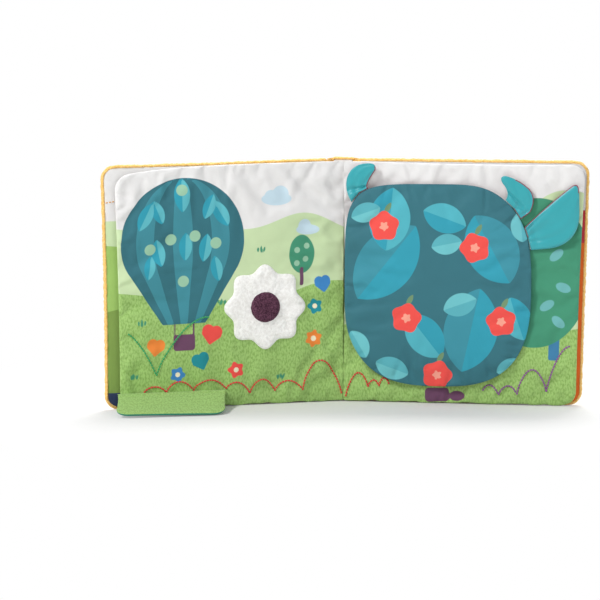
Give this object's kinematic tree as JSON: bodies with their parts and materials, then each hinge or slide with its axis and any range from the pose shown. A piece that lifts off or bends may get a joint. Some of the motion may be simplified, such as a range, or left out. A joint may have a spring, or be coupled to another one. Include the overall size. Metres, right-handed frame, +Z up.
{
  "type": "cloth activity book",
  "caption": "Padded cloth activity book standing open, with turning leaves, a big lift-up flap with soft horns and an ear, and a small fold-out flap.",
  "frame": {"origin": "middle of the spine's flat foot, on the surface that the book stands on", "axes": "+Z up along the spine; +X across the spread to the right side; the reader sits towards -Y"},
  "size_m": [0.4709, 0.1364, 0.241],
  "materials": {
    "plush": "short-pile plush, warm yellow",
    "foam": "polyester wadding",
    "lining_green": "printed cotton, pale green",
    "lining_red": "printed cotton, orange red",
    "page_print": "printed cotton, sky over meadow",
    "page_plain": "printed cotton, sky grey",
    "squeaker_plastic": "moulded polyethylene",
    "fleece_white": "short white fleece",
    "fleece_plum": "fuzzy dark plum plush",
    "film": "thin crackling polyester film",
    "flap_teal": "printed cotton, deep teal",
    "cloth_maroon": "plain cotton, maroon",
    "satin_teal": "satin, bright teal",
    "cloth_sea_green": "plain cotton, sea green"
  },
  "bodies": {
    "spine": {"spine_plush": "plush", "spine_foam": "foam", "spine_lining": "lining_green", "front_hinge_cloth": "plush", "back_hinge_cloth": "plush"},
    "front_cover": {"front_cover_plush": "plush", "front_cover_foam": "foam", "front_cover_lining": "lining_green"},
    "back_cover": {"back_cover_plush": "plush", "back_cover_foam": "foam", "back_cover_lining": "lining_red"},
    "leaf_1": {"leaf_1_front_cloth": "page_print", "leaf_1_batting": "foam", "leaf_1_back_cloth": "page_plain", "squeaker": "squeaker_plastic", "fleece_flower": "fleece_white", "flower_centre": "fleece_plum"},
    "leaf_2": {"leaf_2_front_cloth": "page_print", "leaf_2_batting": "foam", "leaf_2_back_cloth": "page_plain", "crinkle_film": "film"},
    "big_flap": {"big_flap_front_cloth": "flap_teal", "big_flap_batting": "foam", "big_flap_back_cloth": "cloth_maroon"},
    "left_horn": {"left_horn_front": "satin_teal", "left_horn_back": "cloth_maroon"},
    "right_horn": {"right_horn_front": "satin_teal", "right_horn_back": "cloth_maroon"},
    "right_ear": {"right_ear_front": "satin_teal", "right_ear_back": "cloth_maroon"},
    "floor_flap": {"floor_flap_top_cloth": "page_print", "floor_flap_padding": "foam", "floor_flap_under_cloth": "cloth_sea_green"}
  },
  "joints": [
    {"name": "front_cover_fold", "type": "hinge", "parent": "spine", "child": "front_cover", "pos_m": [-0.017, -0.019, 0.12], "axis": [0, 0, 1], "range_deg": [-105, 70], "deforming": ["front_hinge_cloth"]},
    {"name": "back_cover_fold", "type": "hinge", "parent": "spine", "child": "back_cover", "pos_m": [0.017, -0.019, 0.12], "axis": [0, 0, -1], "range_deg": [-98, 77], "deforming": ["back_hinge_cloth"]},
    {"name": "leaf_1_turn", "type": "hinge", "parent": "front_cover", "child": "leaf_1", "pos_m": [-0.00452, -0.02442, 0.119], "axis": [0, 0, -1], "range_deg": [-95, 0]},
    {"name": "leaf_2_turn", "type": "hinge", "parent": "back_cover", "child": "leaf_2", "pos_m": [0.00528, -0.0259, 0.119], "axis": [0, 0, 1], "range_deg": [-92, 0]},
    {"name": "big_flap_lift", "type": "hinge", "parent": "leaf_2", "child": "big_flap", "pos_m": [0.00511, -0.03337, 0.1175], "axis": [0, 0, 1], "range_deg": [-110, 0]},
    {"name": "left_horn_bend", "type": "hinge", "parent": "big_flap", "child": "left_horn", "pos_m": [0.01743, -0.03532, 0.20522], "axis": [-0.7473, 0.1184, -0.6539], "range_deg": [-35, 0], "stiffness_Nm_per_rad": 0.002},
    {"name": "right_horn_bend", "type": "hinge", "parent": "big_flap", "child": "right_horn", "pos_m": [0.16376, -0.05849, 0.19284], "axis": [-0.6228, 0.0986, 0.7762], "range_deg": [-35, 0], "stiffness_Nm_per_rad": 0.002},
    {"name": "right_ear_bend", "type": "hinge", "parent": "big_flap", "child": "right_ear", "pos_m": [0.17769, -0.0607, 0.16483], "axis": [-0.2528, 0.04, 0.9667], "range_deg": [-35, 0], "stiffness_Nm_per_rad": 0.002},
    {"name": "floor_flap_fold", "type": "hinge", "parent": "leaf_1", "child": "floor_flap", "pos_m": [-0.16665, -0.07757, 0.014], "axis": [-0.9613, -0.2756, 0], "range_deg": [0, 98]}
  ]
}
